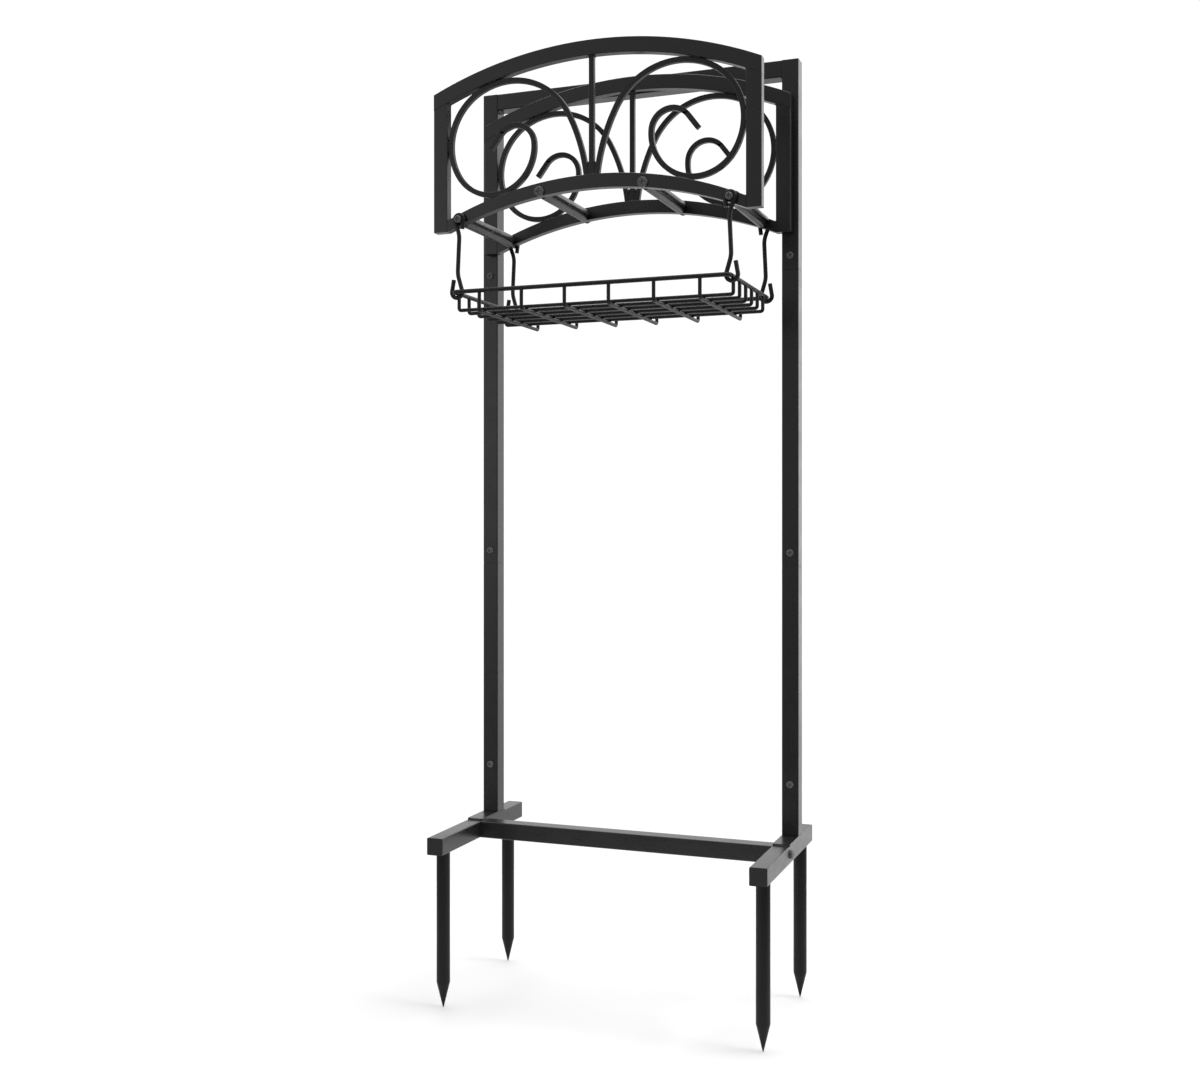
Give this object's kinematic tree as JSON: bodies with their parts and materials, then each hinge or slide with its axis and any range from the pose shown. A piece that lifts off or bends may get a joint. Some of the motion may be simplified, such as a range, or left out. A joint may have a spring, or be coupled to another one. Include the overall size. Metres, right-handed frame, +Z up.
{
  "type": "garden hose holder",
  "caption": "Freestanding staked garden hose holder with arched scrollwork panels joined by hose bars and a wire basket swinging on hooks below.",
  "frame": {"origin": "under the middle of the holder, level with the stake tips", "axes": "+Z up; +X to the right as seen from the front; +Y to the rear, the hook and basket side is -Y"},
  "size_m": [0.414, 0.239, 1.1175],
  "materials": {
    "coated_tube": "satin powder coat",
    "coated_stake": "satin powder coat",
    "coated_panel": "satin powder coat",
    "coated_scroll": "satin powder coat",
    "coated_bar": "satin powder coat",
    "coated_wire": "satin dipped coat",
    "end_cap": "moulded, fine grain",
    "inner_sleeve": "zinc",
    "fastener": "black oxide"
  },
  "bodies": {
    "stand": {"foot_left": "coated_tube", "base_plate_left": "coated_tube", "post_lower_left": "coated_tube", "post_upper_left": "coated_tube", "frame_leg_left": "coated_tube", "stake_front_left": "coated_stake", "stake_rear_left": "coated_stake", "base_stub_left": "inner_sleeve", "sleeve_middle_left": "inner_sleeve", "sleeve_top_left": "inner_sleeve", "hose_rod_inner_left": "coated_bar", "hose_saddle_inner_left": "coated_bar", "hose_rod_outer_left": "coated_bar", "hose_saddle_outer_left": "coated_bar", "front_upright_left": "coated_panel", "front_scroll_left": "coated_scroll", "rear_upright_left": "coated_panel", "rear_scroll_left": "coated_scroll", "foot_right": "coated_tube", "base_plate_right": "coated_tube", "post_lower_right": "coated_tube", "post_upper_right": "coated_tube", "frame_leg_right": "coated_tube", "stake_front_right": "coated_stake", "stake_rear_right": "coated_stake", "base_stub_right": "inner_sleeve", "sleeve_middle_right": "inner_sleeve", "sleeve_top_right": "inner_sleeve", "hose_rod_inner_right": "coated_bar", "hose_saddle_inner_right": "coated_bar", "hose_rod_outer_right": "coated_bar", "hose_saddle_outer_right": "coated_bar", "front_upright_right": "coated_panel", "front_scroll_right": "coated_scroll", "rear_upright_right": "coated_panel", "rear_scroll_right": "coated_scroll", "front_top_arch": "coated_panel", "front_hose_arch": "coated_panel", "front_centre_bar": "coated_scroll", "rear_top_arch": "coated_panel", "rear_hose_arch": "coated_panel", "rear_centre_bar": "coated_scroll", "base_crossbar": "coated_tube", "frame_crossbar": "coated_tube", "foot_end_caps": "end_cap", "post_screws": "fastener", "foot_screws": "fastener", "bar_screws": "fastener", "hook_bolts": "fastener", "panel_bolts": "fastener"},
    "basket": {"basket_rim": "coated_wire", "basket_long_wires": "coated_wire", "basket_cross_wires": "coated_wire"},
    "hook_front_left": {"hook_front_left": "coated_wire"},
    "hook_front_right": {"hook_front_right": "coated_wire"},
    "hook_rear_left": {"hook_rear_left": "coated_wire"},
    "hook_rear_right": {"hook_rear_right": "coated_wire"}
  },
  "joints": [
    {"name": "hook_front_left_swing", "type": "hinge", "parent": "stand", "child": "hook_front_left", "pos_m": [-0.1625, -0.10705, 0.9255], "axis": [0, 1, 0], "range_deg": [-6.4, 6.4]},
    {"name": "basket_level", "type": "hinge", "parent": "hook_front_left", "child": "basket", "pos_m": [-0.165, -0.10705, 0.84], "axis": [0, 1, 0], "range_deg": [-6.35, 6.35]},
    {"name": "hook_front_right_swing", "type": "hinge", "parent": "stand", "child": "hook_front_right", "pos_m": [0.1625, -0.10705, 0.9255], "axis": [0, 1, 0], "range_deg": [-6.4, 6.4]},
    {"name": "hook_rear_left_swing", "type": "hinge", "parent": "stand", "child": "hook_rear_left", "pos_m": [-0.1625, 0.04655, 0.9255], "axis": [0, 1, 0], "range_deg": [-6.4, 6.4]},
    {"name": "hook_rear_right_swing", "type": "hinge", "parent": "stand", "child": "hook_rear_right", "pos_m": [0.1625, 0.04655, 0.9255], "axis": [0, 1, 0], "range_deg": [-6.4, 6.4]}
  ],
  "couplings": [
    {"joint": "basket_level", "follows": "hook_front_left_swing", "ratio": -0.985},
    {"joint": "hook_front_right_swing", "follows": "hook_front_left_swing", "ratio": 1},
    {"joint": "hook_rear_left_swing", "follows": "hook_front_left_swing", "ratio": 1},
    {"joint": "hook_rear_right_swing", "follows": "hook_front_left_swing", "ratio": 1}
  ]
}
